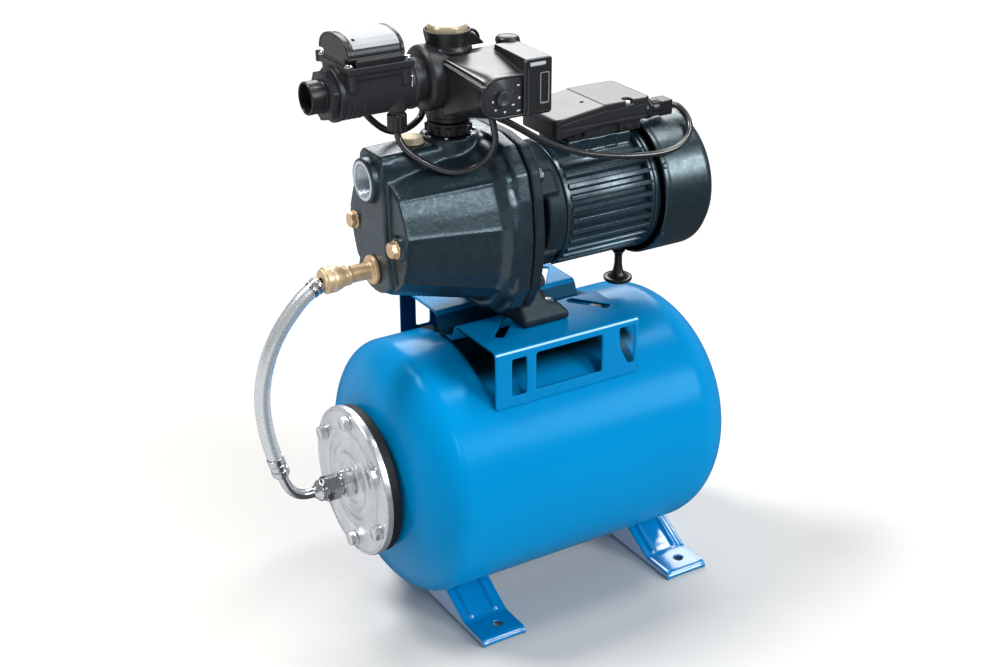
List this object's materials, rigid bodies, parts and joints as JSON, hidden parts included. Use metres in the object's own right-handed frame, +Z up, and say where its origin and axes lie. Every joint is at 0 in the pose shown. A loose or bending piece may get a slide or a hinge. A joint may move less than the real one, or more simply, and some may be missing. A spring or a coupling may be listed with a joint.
{
  "type": "booster pump set",
  "caption": "Self-priming jet pump and motor on a horizontal pressure tank with feet, an electronic pressure control, a flow switch and a steel-braided connecting hose.",
  "frame": {"origin": "centre of the four foot holes, on the floor", "axes": "+X from the tank flange to the motor fan, along the tank and the shaft; +Y away from the control panel; +Z up"},
  "size_m": [0.5398, 0.2668, 0.6224],
  "materials": {
    "blue_paint": "glossy enamel",
    "rubber": "matt",
    "galvanised": "stamped and zinc plated",
    "zinc": "zinc plated",
    "chrome": "polished",
    "braid": "woven wire",
    "brass": "turned",
    "slate_paint": "satin paint over a cast surface",
    "black_plastic": "fine grain",
    "ceramic": "ground",
    "graphite": "ground",
    "steel": "ground",
    "laminations": "stacked sheet",
    "copper_coils": "varnished",
    "pale_plastic": "moulded",
    "panel": "smooth",
    "button": "smooth",
    "board": "solder mask",
    "label": "printed plate left bare",
    "cable": "sheathed"
  },
  "bodies": {
    "set": {"tank_shell": "blue_paint", "tank_bladder": "rubber", "front_foot": "blue_paint", "rear_foot": "blue_paint", "carrier_plate": "blue_paint", "tank_flange": "galvanised", "flange_bolts": "zinc", "air_valve": "brass", "air_valve_cap": "black_plastic", "flange_nipple": "chrome", "hose_elbow": "chrome", "hose_ferrules": "chrome", "braided_hose": "braid", "brass_elbow_nut": "brass", "brass_adapter": "brass", "pump_casing": "slate_paint", "casing_seal": "rubber", "casing_bolts": "zinc", "gauge_plugs": "brass", "priming_plug": "brass", "motor_bracket": "slate_paint", "pedestal_bolts": "zinc", "diffuser": "black_plastic", "ejector": "black_plastic", "seal_seat": "ceramic", "stator": "copper_coils", "front_bearing": "steel", "rear_bearing": "steel", "motor_housing": "slate_paint", "rear_shield": "slate_paint", "fan_cover": "slate_paint", "motor_stand": "rubber", "terminal_box": "black_plastic", "terminal_lid": "black_plastic", "small_screws": "zinc", "capacitor": "pale_plastic", "cable_glands": "black_plastic", "lock_ring": "black_plastic", "controller_body": "black_plastic", "top_plug": "brass", "control_head": "black_plastic", "panel_face": "panel", "circuit_board": "board", "valve_spring": "steel", "flow_body": "black_plastic", "flow_cover": "black_plastic", "label_plate": "label", "outlet_spigot": "black_plastic", "sensor_lead": "cable", "motor_lead": "cable", "rear_lead": "cable"},
    "rotor": {"motor_shaft": "steel", "rotor_core": "laminations", "impeller": "brass", "cooling_fan": "black_plastic", "seal_head": "graphite"},
    "button": {"panel_button": "button"},
    "valve": {"check_valve": "pale_plastic"},
    "swivel": {"swivel_nut": "chrome"},
    "union": {"union_nut": "black_plastic"}
  },
  "joints": [
    {"name": "rotor_spin", "type": "hinge", "parent": "set", "child": "rotor", "pos_m": [-0.0045, 0, 0.421], "axis": [1, 0, 0], "continuous": true},
    {"name": "button_press", "type": "slide", "parent": "set", "child": "button", "axis": [0, 1, 0], "range_m": [0, 0.0015], "stiffness_N_per_m": 400, "springref_m": -0.001},
    {"name": "valve_lift", "type": "slide", "parent": "set", "child": "valve", "axis": [0, 0, 1], "range_m": [0, 0.006], "stiffness_N_per_m": 200, "springref_m": -0.008, "deforming": ["valve_spring"]},
    {"name": "swivel_nut_spin", "type": "hinge", "parent": "set", "child": "swivel", "pos_m": [-0.2545, 0, 0.1638], "axis": [1, 0, 0], "continuous": true},
    {"name": "union_nut_spin", "type": "hinge", "parent": "set", "child": "union", "pos_m": [-0.2405, 0, 0.567], "axis": [1, 0, 0], "continuous": true}
  ]
}
